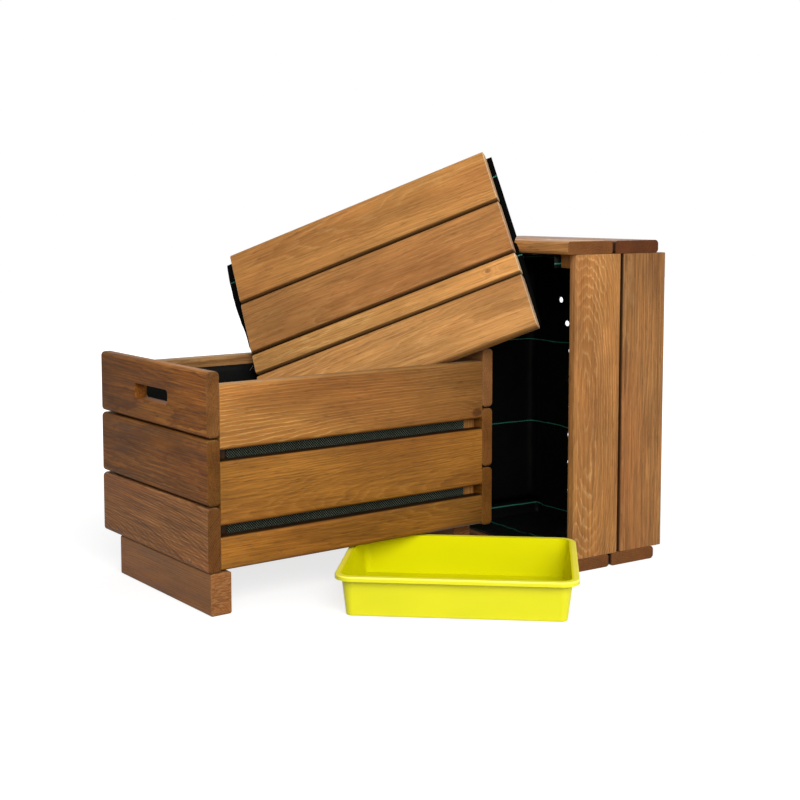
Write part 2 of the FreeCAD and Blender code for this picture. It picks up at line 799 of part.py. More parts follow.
def trayPiece(place):
    name = "drip_tray"
    body = document.addObject("PartDesign::Body", name)
    height = "Sizes.trayHeight"

    def outline(label, lift, growFormula, grow):
        sketch = newSketch(body, f"{name}_{label}", "XY_Plane", lift)
        drawRoundedRectangle(
            sketch,
            ((0, 0), ("0", "0")),
            (size("trayLength") + 2 * grow, f"Sizes.trayLength + 2 * ({growFormula})"),
            (size("trayDepth") + 2 * grow, f"Sizes.trayDepth + 2 * ({growFormula})"),
            (size("trayCorner") + grow, f"Sizes.trayCorner + {growFormula}"),
        )
        document.recompute()
        return sketch

    flare = size("trayFlare")
    wall = size("trayWall")
    lip = size("trayLip")
    rim = body.newObject("PartDesign::Pad", name + "_rim")
    rim.Profile = outline(
        "rim_outline", f"{height} - Sizes.trayLipDrop", "Sizes.trayFlare + Sizes.trayLip",
        flare + lip,
    )
    rim.setExpression("Length", "Sizes.trayLipDrop")
    document.recompute()
    top = rim.Shape.BoundBox.ZMax
    topEdges = edgeNames(rim.Shape, lambda edge: edge.BoundBox.ZMin > top - 0.001)
    rolled = roundEdges(body, name + "_roll", rim, topEdges, "Sizes.trayLipRound")
    rimVolume = rolled.Shape.Volume
    under = body.newObject("PartDesign::Pocket", name + "_under_rim")
    under.Profile = outline(
        "under_rim_outline", f"{height} - Sizes.trayLipDrop",
        "Sizes.trayFlare + Sizes.trayLip - Sizes.trayWall", flare + lip - wall,
    )
    under.Reversed = True
    under.setExpression("Length", "Sizes.trayLipDrop - Sizes.trayWall")
    document.recompute()
    if under.Shape.Volume > rimVolume - 1:
        raise ValueError("the tray's rim is not hollowed")
    shell = body.newObject("PartDesign::AdditiveLoft", name + "_shell")
    shell.Profile = outline("foot", None, "0 * Sizes.trayFlare", 0)
    shell.Sections = [outline("mouth", height, "Sizes.trayFlare", flare)]
    document.recompute()
    footEdges = edgeNames(shell.Shape, lambda edge: edge.BoundBox.ZMax < 0.001)
    filled = roundEdges(body, name + "_foot_round", shell, footEdges, "Sizes.trayFootRound")
    filledVolume = filled.Shape.Volume
    hollow = body.newObject("PartDesign::SubtractiveLoft", name + "_hollow")
    hollow.Profile = outline("inner_foot", "Sizes.trayWall", "0 - Sizes.trayWall", -wall)
    hollow.Sections = [
        outline("inner_mouth", height, "Sizes.trayFlare - Sizes.trayWall", flare - wall)
    ]
    document.recompute()
    if hollow.Shape.Volume > filledVolume - 1:
        raise ValueError("the tray is not hollowed")
    body.Placement = place
    finish(name, body)


# Where each part of the set stands

basePlace = atRest(vector(size("baseLeft"), size("baseFront"), foot))
baseCrate(basePlace)

turn = math.radians(size("upperTurn"))
crateUp = vector(-math.cos(turn), math.sin(turn), 0)
crateBack = vector(math.sin(turn), math.cos(turn), 0)
rimCorner = vector(
    size("baseLeft") + crateLength + size("upperAway"),
    size("baseFront") - size("upperForward"),
    0,
)
upperHeight = 2 * width + size("endGap")
upperCorner = rimCorner - crateUp * upperHeight
upperPlace = FreeCAD.Placement(upperCorner, FreeCAD.Rotation(zAxis, crateBack, crateUp, "XYZ"))
upperCrate(upperPlace)

lidPieces(lidPlace())

trayPlace = atRest(
    vector(
        size("baseLeft") + size("trayAlong"),
        size("baseFront") - size("trayForward"),
        0,
    ),
    FreeCAD.Rotation(zAxis, size("trayTurn")),
)
trayPiece(trayPlace)

# Checks, then one file for each sub-part

document.recompute()
for item in document.Objects:
    if "Invalid" in item.State or "Error" in item.State:
        raise ValueError(f"{item.Name} failed: {item.State}")
for piece in finished:
    if piece.Shape.isNull() or not piece.Shape.isValid():
        raise ValueError(f"{piece.Label} has no sound shape")

os.makedirs("parts", exist_ok=True)
for piece in finished:
    piece.Shape.exportStep(f"parts/{piece.Label}.step")
print(len(finished), "sub-parts written")
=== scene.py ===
import json
import math
import random

import bmesh
import bpy
from mathutils import Euler, Matrix, Vector, noise
from mathutils.bvhtree import BVHTree


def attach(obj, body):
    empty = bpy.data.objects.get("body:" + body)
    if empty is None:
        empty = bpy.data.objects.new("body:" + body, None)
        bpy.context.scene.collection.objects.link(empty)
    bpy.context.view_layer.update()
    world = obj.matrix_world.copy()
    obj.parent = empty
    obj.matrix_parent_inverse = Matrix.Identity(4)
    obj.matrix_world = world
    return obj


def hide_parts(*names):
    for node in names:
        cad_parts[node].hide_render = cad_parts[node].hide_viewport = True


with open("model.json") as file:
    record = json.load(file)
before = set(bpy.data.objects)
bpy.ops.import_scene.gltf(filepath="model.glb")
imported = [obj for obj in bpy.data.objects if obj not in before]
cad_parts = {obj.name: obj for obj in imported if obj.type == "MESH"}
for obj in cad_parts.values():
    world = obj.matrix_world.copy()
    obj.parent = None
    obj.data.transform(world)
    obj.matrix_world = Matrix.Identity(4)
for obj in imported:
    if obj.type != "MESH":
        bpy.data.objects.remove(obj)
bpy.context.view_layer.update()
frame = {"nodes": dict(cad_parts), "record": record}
nodes = frame["nodes"]
print("frame loaded with", len(nodes), "nodes")

# How each body is turned from the set's own axes, in degrees: its x runs along it, its y across it
bodyTurns = {
    "base_crate": (0, 0, 0),
    "upper_crate": (0, -90, -3.29),
    "lid": (65.28, -21.75, -49.07),
    "tray": (0, 0, -42.55),
}


def turnOf(body):
    return Euler([math.radians(angle) for angle in bodyTurns[body]]).to_matrix()


def ownBox(name, turn):
    # the lowest and highest corner of a node along its body's own axes
    back = turn.inverted()
    points = [back @ vertex.co for vertex in nodes[name].data.vertices]
    low = Vector([min(point[axis] for point in points) for axis in range(3)])
    high = Vector([max(point[axis] for point in points) for axis in range(3)])
    return low, high


def shade(red, green, blue):
    # a colour as a paint program shows it, for Blender's linear sockets
    def straight(value):
        value = value / 255
        return value / 12.92 if value <= 0.04045 else ((value + 0.055) / 1.055) ** 2.4

    return (straight(red), straight(green), straight(blue), 1)


# Short hands for wiring nodes

def feed(tree, socket, value):
    if isinstance(value, bpy.types.NodeSocket):
        tree.links.new(value, socket)
    else:
        socket.default_value = value


def math1(tree, operation, *values, clamp=False):
    node = tree.nodes.new("ShaderNodeMath")
    node.operation = operation
    node.use_clamp = clamp
    for socket, value in zip(node.inputs, values):
        feed(tree, socket, value)
    return node.outputs[0]


def times(tree, first, second, clamp=False):
    return math1(tree, "MULTIPLY", first, second, clamp=clamp)


def plus(tree, first, second):
    return math1(tree, "ADD", first, second)


def minus(tree, first, second):
    return math1(tree, "SUBTRACT", first, second)


def timesPlus(tree, first, second, third):
    return math1(tree, "MULTIPLY_ADD", first, second, third)


def math3(tree, operation, *values):
    node = tree.nodes.new("ShaderNodeVectorMath")
    node.operation = operation
    for socket, value in zip(node.inputs, values):
        feed(tree, socket, value)
    return node.outputs["Value" if operation in ("LENGTH", "DOT_PRODUCT") else "Vector"]


def ease(tree, value, start, end, first=0.0, last=1.0):
    node = tree.nodes.new("ShaderNodeMapRange")
    node.interpolation_type = "SMOOTHSTEP"
    for socket, item in zip(node.inputs, (value, start, end, first, last)):
        feed(tree, socket, item)
    return node.outputs[0]


def cloud(tree, place, stretch, detail=2.0, rough=0.5):
    node = tree.nodes.new("ShaderNodeTexNoise")
    feed(tree, node.inputs["Vector"], math3(tree, "MULTIPLY", place, stretch))
    node.inputs["Scale"].default_value = 1
    node.inputs["Detail"].default_value = detail
    node.inputs["Roughness"].default_value = rough
    return node.outputs["Fac"]


def blend(tree, factor, first, second, mode="MIX"):
    node = tree.nodes.new("ShaderNodeMix")
    node.data_type = "RGBA"
    node.blend_type = mode
    feed(tree, node.inputs["Factor"], factor)
    feed(tree, node.inputs[6], first)
    feed(tree, node.inputs[7], second)
    return node.outputs[2]


def splitXyz(tree, place):
    node = tree.nodes.new("ShaderNodeSeparateXYZ")
    feed(tree, node.inputs[0], place)
    return node.outputs[0], node.outputs[1], node.outputs[2]


def joinXyz(tree, x, y, z):
    node = tree.nodes.new("ShaderNodeCombineXYZ")
    for socket, value in zip(node.inputs, (x, y, z)):
        feed(tree, socket, value)
    return node.outputs[0]


def newGroup(name, inputs, outputs):
    tree = bpy.data.node_groups.new(name, "ShaderNodeTree")
    for title, kind in inputs:
        tree.interface.new_socket(title, in_out="INPUT", socket_type="NodeSocket" + kind)
    for title, kind in outputs:
        tree.interface.new_socket(title, in_out="OUTPUT", socket_type="NodeSocket" + kind)
    return tree, tree.nodes.new("NodeGroupInput").outputs, tree.nodes.new("NodeGroupOutput").inputs


def newMaterial(name):
    material = bpy.data.materials.new(name)
    material.use_nodes = True
    return material, material.node_tree, material.node_tree.nodes["Principled BSDF"]


def placeGroup(tree, group, values):
    node = tree.nodes.new("ShaderNodeGroup")
    node.node_tree = group
    for title, value in values.items():
        feed(tree, node.inputs[title], value)
    return node.outputs


def bumpInto(tree, shader, height, strength, distance):
    bump = tree.nodes.new("ShaderNodeBump")
    bump.inputs["Strength"].default_value = strength
    bump.inputs["Distance"].default_value = distance
    tree.links.new(height, bump.inputs["Height"])
    tree.links.new(bump.outputs[0], shader.inputs["Normal"])


def turnedPlace(tree, rotation, location):
    # the set's coordinates, turned and centred on one piece
    coordinates = tree.nodes.new("ShaderNodeTexCoord")
    mapping = tree.nodes.new("ShaderNodeMapping")
    mapping.inputs["Rotation"].default_value = rotation
    mapping.inputs["Location"].default_value = location
    tree.links.new(coordinates.outputs["Object"], mapping.inputs["Vector"])
    return mapping.outputs[0]


def linkNew(name, data):
    made = bpy.data.objects.new(name, data)
    bpy.context.scene.collection.objects.link(made)
    return made


def pieceFrom(bm, name, *materials):
    # a finished bmesh as an object, with its place in its mesh
    mesh = bpy.data.meshes.new(name)
    bm.to_mesh(mesh)
    bm.free()
    for material in materials:
        mesh.materials.append(material)
    return linkNew(name, mesh)


def dress(name, material):
    nodes[name].data.materials.clear()
    nodes[name].data.materials.append(material)


# Camera, at the photograph's place

cameraLook = {
    "place": (-1.3232, -1.7373, 0.5883),
    "down": 5.263,
    "heading": 36.86,
    "lens": 61.59,
    "shiftY": -0.0875,
}


def makeCamera():
    data = bpy.data.cameras.new("camera")
    data.lens = cameraLook["lens"]
    data.shift_y = cameraLook["shiftY"]
    camera = linkNew("camera", data)
    camera.location = cameraLook["place"]
    down = math.radians(90 - cameraLook["down"])
    camera.rotation_euler = (down, 0, -math.radians(cameraLook["heading"]))
    bpy.context.scene.camera = camera


makeCamera()
print("camera made")

# Stained pine, cut from a log: rings round a heart line, fibres, knots, end grain, edges made
# lighter by wear and painted highlight, and painted shade and highlight along the long edges

pineColours = {
    "early": shade(190, 130, 66),
    "late": shade(128, 78, 34),
    "red": shade(160, 92, 44),
    "pale": shade(214, 164, 100),
    "knot": shade(92, 52, 24),
    # the lighter edges' colour: part wear, part painted highlight
    "wearAndHighlight": shade(206, 156, 98),
}
# How often each pattern changes in a metre, along, across and through a board
pineGrain = {
    "wander": (2.6, 11, 11),
    "ripple": (22, 80, 80),
    "flames": (5, 20, 20),
    "fibre": (8, 470, 470),
    "bands": (3, 120, 120),
    "pores": (48, 520, 520),
    "patches": (7, 24, 24),
    "warm": (3, 9, 9),
    "scuff": (30, 90, 90),
    "saw": (90, 480, 110),
}
# Where a pattern starts from, so that no two are alike
pineStart = {"flames": (2, 5, 3), "warm": (7, 3, 1), "seed": (3.1, 1.7)}
# Between which two values of its noise each pattern grows
pineRange = {
    "flames": (0.4, 0.6),
    "fibre": (0.36, 0.64),
    "bands": (0.3, 0.7),
    "pores": (0.24, 0.42),
    "patches": (0.3, 0.7),
    "warm": (0.35, 0.75),
    "rub": (0.3, 0.75),
    "pale": (0.25, 0.6),
    "saw": (0.42, 0.66),
    "rough": (0.2, 0.8),
}
# How strong each effect is
pineShare = {
    "red": 0.45,
    "flames": 0.3,  # what is left of the pale lines between the flames
    "bands": 0.3,
    "pores": 0.68,
    "endFibres": -0.6,  # what the fibres lose on a sawn end
    "level": 0.97,
    "rub": 0.45,
    "pale": 0.5,  # what is left of the top edge's painted highlight where the scuff noise is least
}
# Where the dark and the pale line come and go, in parts of a ring's width
pineRing = {
    "darkIn": (0.1, 0.86), "darkOut": (1.0, 0.9),
    "paleIn": (0.0, 0.08), "paleOut": (0.34, 0.12),
    "faintest": 0.3,
    "wander": 0.022,  # how far the rings stray, in metres
}
pineKnot = {
    "long": 0.7,
    "reach": 3.5,  # how far the rings bend round it, in knot sizes
    "bend": 1.3,
    "rings": 2600.0,
    "core": 0.5,  # the part of its size that is all knot
    "dark": (0.5, 0.75),  # how much it darkens the wood, between its own rings and on them
    "least": 0.0001,
    "seen": (0.0005, 0.001),
}
# How far in from an edge or a sawn end each effect reaches, in metres
pineEdge = {
    "end": (0.0012, 0.0003),
    # rub: the lighter edges, part wear and part painted highlight
    "rub": (0.0004, 0.0034),
    # low: the painted shade on the low long edge
    "low": (0.0042, 0.0016),
    # pale: the painted highlight on the top edge
    "pale": (0.0048, 0.0012),
    # dark: the painted shade along the top edge
    "dark": (0.0028, 0.0008),
}
pineFinish = {
    "rough": (0.40, 0.58), "endRough": 0.2, "rings": 0.5, "fibres": 0.8, "relief": 0.0004,
}


def knotParts(tree, given, x, y):
    # how much the rings bend round the knot, and how much of a point is the knot itself
    knot = splitXyz(tree, given["Knot"])
    size = given["Knot Size"]
    along = times(tree, minus(tree, x, knot[0]), pineKnot["long"])
    across = minus(tree, y, knot[1])
    gap = math3(tree, "LENGTH", joinXyz(tree, along, across, 0.0))
    reach = math1(tree, "MAXIMUM", times(tree, size, pineKnot["reach"]), pineKnot["least"])
    pull = times(tree, ease(tree, gap, reach, 0.0), size)
    rings = math1(tree, "SINE", times(tree, gap, pineKnot["rings"]))
    inside = ease(tree, gap, size, times(tree, size, pineKnot["core"]))
    inside = times(tree, inside, ease(tree, rings, -1.0, 1.0, *pineKnot["dark"]))
    inside = times(tree, inside, ease(tree, size, *pineKnot["seen"]))
    return pull, inside


def ringParts(tree, given, spot, shifted, pull):
    # how dark a ring's late wood makes a point, and how much a pale line does the reverse
    x, y, z = spot
    bow, heartY, heartZ = splitXyz(tree, given["Heart"])
    across = minus(tree, y, heartY)
    deep = timesPlus(tree, x, given["Taper"], minus(tree, z, heartZ))
    deep = timesPlus(tree, times(tree, x, x), bow, deep)
    radius = math3(tree, "LENGTH", joinXyz(tree, across, deep, 0.0))
    wander = minus(tree, cloud(tree, shifted, pineGrain["wander"]), 0.5)
    ripple = minus(tree, cloud(tree, shifted, pineGrain["ripple"], 4.0, 0.6), 0.5)
    radius = timesPlus(tree, wander, pineRing["wander"], radius)
    radius = timesPlus(tree, ripple, given["Ripple"], radius)
    radius = timesPlus(tree, pull, pineKnot["bend"], radius)
    count = math1(tree, "DIVIDE", radius, given["Ring Width"])
    part = math1(tree, "FRACT", count)

    # each ring has its own strength
    each = tree.nodes.new("ShaderNodeTexWhiteNoise")
    each.noise_dimensions = "1D"
    feed(tree, each.inputs["W"], math1(tree, "FLOOR", count))
    strength = ease(tree, each.outputs["Value"], 0.0, 1.0, pineRing["faintest"], 1.0)
    dark = ease(tree, part, *pineRing["darkIn"])
    dark = times(tree, dark, ease(tree, part, *pineRing["darkOut"]))
    dark = times(tree, times(tree, dark, strength), given["Contrast"], clamp=True)

    # the pale lines come and go in long flames
    pale = ease(tree, part, *pineRing["paleIn"])
    pale = times(tree, pale, ease(tree, part, *pineRing["paleOut"]))
    flames = cloud(tree, math3(tree, "ADD", shifted, pineStart["flames"]), pineGrain["flames"])
    pale = times(tree, pale, ease(tree, flames, *pineRange["flames"], pineShare["flames"], 1.0))
    pale = times(tree, pale, given["Pale Lines"], clamp=True)
    return dark, pale


def streakParts(tree, given, x, shifted, fibre, onEnd):
    # how light the fibres, pores and patches leave a point, the fibres fainter on a sawn end
    bands = cloud(tree, shifted, pineGrain["bands"], 3.0, 0.55)
    pores = cloud(tree, shifted, pineGrain["pores"], 1.0)
    patches = cloud(tree, shifted, pineGrain["patches"], 3.0, 0.6)
    lines = ease(tree, fibre, *pineRange["fibre"], -1.0, 1.0)
    wide = pineShare["bands"]
    lines = plus(tree, lines, ease(tree, bands, *pineRange["bands"], -wide, wide))
    lines = times(tree, lines, timesPlus(tree, onEnd, pineShare["endFibres"], 1.0))
    streak = timesPlus(tree, lines, given["Fibre"], 1.0)
    streak = times(tree, streak, ease(tree, pores, *pineRange["pores"], pineShare["pores"], 1.0))
    patchy = ease(tree, patches, *pineRange["patches"], -1.0, 1.0)
    streak = times(tree, streak, timesPlus(tree, patchy, given["Patches"], pineShare["level"]))
    # the lightness changes along the board: a painted light falloff together with its own tone
    return times(tree, streak, timesPlus(tree, x, given["Slope"], 1.0))


def secondOf(tree, toX, toY, toZ):
    # the second smallest, which is small only near a board's edges
    most = math1(tree, "MAXIMUM", math1(tree, "MAXIMUM", toX, toY), toZ)
    least = math1(tree, "MINIMUM", math1(tree, "MINIMUM", toX, toY), toZ)
    total = plus(tree, plus(tree, toX, toY), toZ)
    return minus(tree, minus(tree, total, most), least)


def makePineGroup():
    tree, given, made = newGroup(
        "stained pine",
        [
            ("Place", "Vector"), ("Half Size", "Vector"), ("Heart", "Vector"),
            ("Taper", "Float"), ("Ring Width", "Float"), ("Contrast", "Float"),
            ("Pale Lines", "Float"), ("Ripple", "Float"), ("Fibre", "Float"),
            ("Stain", "Color"), ("Slope", "Float"), ("Seed", "Float"),
            ("Knot", "Vector"), ("Knot Size", "Float"), ("Saw Marks", "Float"),
            ("Low Edge Shade", "Float"), ("Top Edge Highlight", "Float"), ("Top Shade", "Float"),
            ("Patches", "Float"), ("End Stain", "Color"),
        ],
        [("Colour", "Color"), ("Roughness", "Float"), ("Height", "Float")],
    )
    place = given["Place"]
    seed = given["Seed"]
    seedX, seedY = pineStart["seed"]
    shift = joinXyz(tree, times(tree, seed, seedX), times(tree, seed, seedY), seed)
    shifted = math3(tree, "ADD", place, shift)
    x, y, z = splitXyz(tree, place)
    pull, inKnot = knotParts(tree, given, x, y)
    dark, pale = ringParts(tree, given, (x, y, z), shifted, pull)
    fromEdge = math3(tree, "SUBTRACT", given["Half Size"], math3(tree, "ABSOLUTE", place))
    toX, toY, toZ = splitXyz(tree, fromEdge)
    onEnd = ease(tree, toX, *pineEdge["end"])
    fibre = cloud(tree, shifted, pineGrain["fibre"], 2.0, 0.6)
    streak = streakParts(tree, given, x, shifted, fibre, onEnd)
    warm = cloud(tree, math3(tree, "ADD", shifted, pineStart["warm"]), pineGrain["warm"])
    reddish = ease(tree, warm, *pineRange["warm"], 0.0, pineShare["red"])

    wood = blend(tree, dark, pineColours["early"], pineColours["late"])
    wood = blend(tree, pale, wood, pineColours["pale"])
    wood = blend(tree, reddish, wood, pineColours["red"])
    wood = blend(tree, inKnot, wood, pineColours["knot"])

    # all edges are made lighter, part wear and part painted highlight; the low long edge can get
    # painted shade, and the top one a painted highlight and painted shade, each by its own amount
    scuff = cloud(tree, shifted, pineGrain["scuff"], 3.0, 0.6)
    limit = ease(tree, scuff, *pineRange["rub"], *pineEdge["rub"])
    nearEdge = ease(tree, secondOf(tree, toX, toY, toZ), limit, 0.0)
    litRubbedEdge = times(tree, nearEdge, pineShare["rub"])
    wood = blend(tree, litRubbedEdge, wood, pineColours["wearAndHighlight"])
    halfWide = splitXyz(tree, given["Half Size"])[1]
    fromLow = plus(tree, halfWide, y)
    fromTop = minus(tree, halfWide, y)
    # the top edge gets a painted highlight, made uneven by the scuff noise
    paintedTopHighlight = times(tree, ease(tree, fromTop, *pineEdge["pale"]), given["Top Edge Highlight"], clamp=True)
    uneven = ease(tree, scuff, *pineRange["pale"], pineShare["pale"], 1.0)
    paintedTopHighlight = times(tree, paintedTopHighlight, uneven)
    wood = blend(tree, paintedTopHighlight, wood, pineColours["wearAndHighlight"])
    # the low long edge gets painted shade, where it faces down into a gap
    lowEdgeShade = times(tree, ease(tree, fromLow, *pineEdge["low"]), given["Low Edge Shade"])
    # the top edge and top face get painted shade, where the gap above keeps light out
    paintedTopShade = times(tree, ease(tree, fromTop, *pineEdge["dark"]), given["Top Shade"])
    streak = times(tree, streak, minus(tree, 1.0, lowEdgeShade))
    streak = times(tree, streak, minus(tree, 1.0, paintedTopShade))
    wood = blend(tree, 1.0, wood, joinXyz(tree, streak, streak, streak), "MULTIPLY")

    # sawn ends have pale saw marks and soak up more stain
    saw = cloud(tree, shifted, pineGrain["saw"], 2.0, 0.7)
    sawn = times(tree, onEnd, given["Saw Marks"])
    sawn = times(tree, sawn, ease(tree, saw, *pineRange["saw"]))
    wood = blend(tree, sawn, wood, pineColours["pale"])
    wood = blend(tree, onEnd, wood, blend(tree, 1.0, wood, given["End Stain"], "MULTIPLY"))
    wood = blend(tree, 1.0, wood, given["Stain"], "MULTIPLY")
    tree.links.new(wood, made["Colour"])

    roughness = ease(tree, fibre, *pineRange["rough"], *pineFinish["rough"])
    roughness = timesPlus(tree, onEnd, pineFinish["endRough"], roughness)
    tree.links.new(roughness, made["Roughness"])
    height = timesPlus(tree, dark, pineFinish["rings"], times(tree, fibre, pineFinish["fibres"]))
    tree.links.new(plus(tree, height, sawn), made["Height"])
    return tree


pineGroup = makePineGroup()

# A board's looks: it runs along its x, its width lies along y, and its top edge is at the high y
plainBoard = {
    "stain": (0.62, 0.60, 0.56),  # multiplies the pine's colours
    "ends": (0.78, 0.78, 0.78),  # multiplies them once more on the sawn ends
    "ring": 0.0036,  # one ring's width, in metres
    "contrast": 0.45,  # how dark the late wood is
    "pale": 0.3,  # how strong the pale lines are
    "ripple": 0.005,  # how unsteady the rings are, in metres
    "bow": 0.0,  # how far the heart line bends away, which closes the rings into loops
    "fibre": 0.17,  # how strong the fine streaks are
    "patches": 0.15,  # how strong the wide light and dark patches are
    "toneAndLightSlope": 0.0,  # how much lighter the board gets along x, for each metre: a painted light falloff together with the board's own tone
    "knot": (0, 0),  # its centre, along and across
    "knotSize": 0.0,  # none
    "saw": 0.15,  # saw marks on the ends
    "lowEdgeShade": 0.35,  # how dark the painted shade on its low edge is
    "topEdge": 0.25,  # how strong the painted highlight on its top edge is
    "topShade": 0.0,  # or a painted shade along its top edge and how dark it is, where the board above shades it
    "finish": (0.14, 0.6),  # gloss, and the strength of its relief
}
# Draws for each board: its heart line across and below it, taper, tone and seed
boardDraws = {
    "across": 0.05, "below": (0.03, 0.14), "taper": 0.06, "tone": (0.94, 1.04), "seed": (1, 40),
}
skidLook = {"stain": (0.60, 0.56, 0.55), "ends": (0.82, 0.73, 0.75), "saw": 0.8}
# What is special about the boards that the photograph shows
boardLooks = {
    "base_left_end_top_board": {
        "stain": (0.54, 0.45, 0.31), "ends": (0.46, 0.53, 0.82), "heart": (-0.02, 0.11),
        "taper": 0.03, "contrast": 0.7, "ring": 0.0024, "fibre": 0.32, "topEdge": 0.5,
        "toneAndLightSlope": -1.9, "patches": 0.2, "finish": (0.06, 0.7),
    },
    "base_left_end_middle_board": {
        "stain": (0.47, 0.41, 0.34), "ends": (0.53, 0.57, 0.60), "heart": (0.03, 0.14),
        "taper": 0.0, "contrast": 0.7, "ring": 0.0022, "fibre": 0.32, "topEdge": 0.35,
        "patches": 0.25, "finish": (0.06, 0.7),
    },
    "base_left_end_bottom_board": {
        "stain": (0.70, 0.67, 0.86), "ends": (0.35, 0.32, 0.24), "heart": (-0.06, 0.05),
        "taper": 0.14, "contrast": 0.8, "ring": 0.0030, "fibre": 0.32, "pale": 0.6,
        "topEdge": 0.35, "finish": (0.06, 0.7),
    },
    "base_front_top_board": {
        "stain": (0.53, 0.50, 0.42), "heart": (-0.075, 0.05), "taper": 0.05, "contrast": 0.22,
        "knot": (0.232, -0.036), "knotSize": 0.009, "toneAndLightSlope": -1.4, "topEdge": 0.8, "pale": 1.0,
        "ring": 0.0042, "fibre": 0.14,
    },
    "base_front_middle_board": {
        "stain": (0.53, 0.49, 0.28), "heart": (-0.03, 0.07), "taper": 0.06, "contrast": 0.4,
        "patches": 0.16, "ring": 0.0024, "topEdge": 0.0, "topShade": 0.93,
    },
    "base_front_bottom_board": {
        "stain": (0.47, 0.45, 0.23), "heart": (0.04, 0.09), "taper": 0.03, "contrast": 0.42,
        "toneAndLightSlope": -1.6, "patches": 0.22, "ring": 0.0026, "topEdge": 0.0, "topShade": 0.93,
    },
    "upper_front_top_board": {
        "stain": (0.66, 0.65, 0.71), "heart": (0.024, -0.02), "taper": 0.012, "contrast": 0.28,
        "ring": 0.0036, "pale": 0.75, "bow": 0.5, "ripple": 0.008, "lowEdgeShade": 0.85, "toneAndLightSlope": 0.35,
    },
    "upper_front_bottom_board": {
        "stain": (0.57, 0.58, 0.70), "heart": (0.06, 0.16), "taper": 0.0, "contrast": 0.35,
        "fibre": 0.22, "topEdge": 0.0, "topShade": 0.85, "toneAndLightSlope": -0.6, "ring": 0.003,
    },
    "upper_left_end_top_board": {"stain": (0.40, 0.33, 0.33), "lowEdgeShade": 0.85},
    "upper_left_end_bottom_board": {"stain": (0.40, 0.33, 0.31), "topEdge": 0.0, "topShade": 0.8},
    "upper_right_end_top_board": {
        "stain": (0.92, 0.92, 0.98), "ends": (0.35, 0.29, 0.25), "lowEdgeShade": 0.85,
    },
    "upper_right_end_bottom_board": {
        "stain": (0.47, 0.42, 0.43), "ends": (0.39, 0.28, 0.22), "topEdge": 0.0, "topShade": 0.8,
    },
    # the lid boards' sawn ends are made pale: part the end grain's own colour, part a painted
    # highlight and reflection
    "lid_back_board": {
        "lowEdgeShade": 0.75, "ends": (1.15, 1.6, 3.0), "ring": 0.0026, "fibre": 0.12,
        "stain": (0.91, 0.96, 1.05), "heart": (0.02, 0.12), "taper": 0.02, "contrast": 0.3,
    },
    "lid_middle_board": {
        "lowEdgeShade": 0.75, "ends": (1.15, 1.6, 3.0), "ring": 0.0024, "fibre": 0.12,
        "stain": (0.77, 0.79, 0.92), "heart": (-0.03, 0.15), "taper": 0.015, "contrast": 0.3,
        "toneAndLightSlope": 0.55,
    },
    "lid_narrow_board": {
        "lowEdgeShade": 0.75, "ends": (1.15, 1.6, 3.0), "ring": 0.0026, "fibre": 0.14, "patches": 0.08,
        "stain": (1.10, 1.25, 1.46), "heart": (0.01, 0.12), "taper": 0.02, "contrast": 0.3,
        "knot": (0.19, 0.003), "knotSize": 0.0045, "toneAndLightSlope": 0.95,
    },
    "lid_front_board": {
        "lowEdgeShade": 0.5, "ends": (1.15, 1.6, 3.0), "ring": 0.0028, "fibre": 0.12,
        "stain": (0.96, 1.05, 1.28), "heart": (0.0, 0.09), "taper": 0.03, "contrast": 0.35,
    },
    "base_right_end_top_board": {"stain": (0.52, 0.50, 0.59)},
    "base_right_end_middle_board": {"stain": (0.38, 0.32, 0.23)},
    "base_right_end_bottom_board": {"stain": (0.34, 0.29, 0.12)},
    "base_back_top_board": {"stain": (0.52, 0.60, 0.80), "topEdge": 0.9},
    # this post stands in deep shadow behind the front boards: its near black stain and dark edges
    # are painted shade
    "base_post_front_left": {
        "stain": (0.075, 0.065, 0.04), "lowEdgeShade": 0.95, "topEdge": 0.0, "topShade": 0.95,
    },
    "base_skid_left": skidLook,
    "base_skid_right": skidLook,
}


def drawnLook(name, draw):
    # the draws are the same for every board, also where its own look then overrides them
    look = dict(plainBoard)
    across = draw.uniform(-boardDraws["across"], boardDraws["across"])
    look["heart"] = (across, draw.choice((-1, 1)) * draw.uniform(*boardDraws["below"]))
    look["taper"] = draw.uniform(-boardDraws["taper"], boardDraws["taper"])
    look["tone"] = draw.uniform(*boardDraws["tone"])
    look["seed"] = draw.uniform(*boardDraws["seed"])
    if name in boardLooks:
        look["tone"] = 1.0
        look.update(boardLooks[name])
    return look


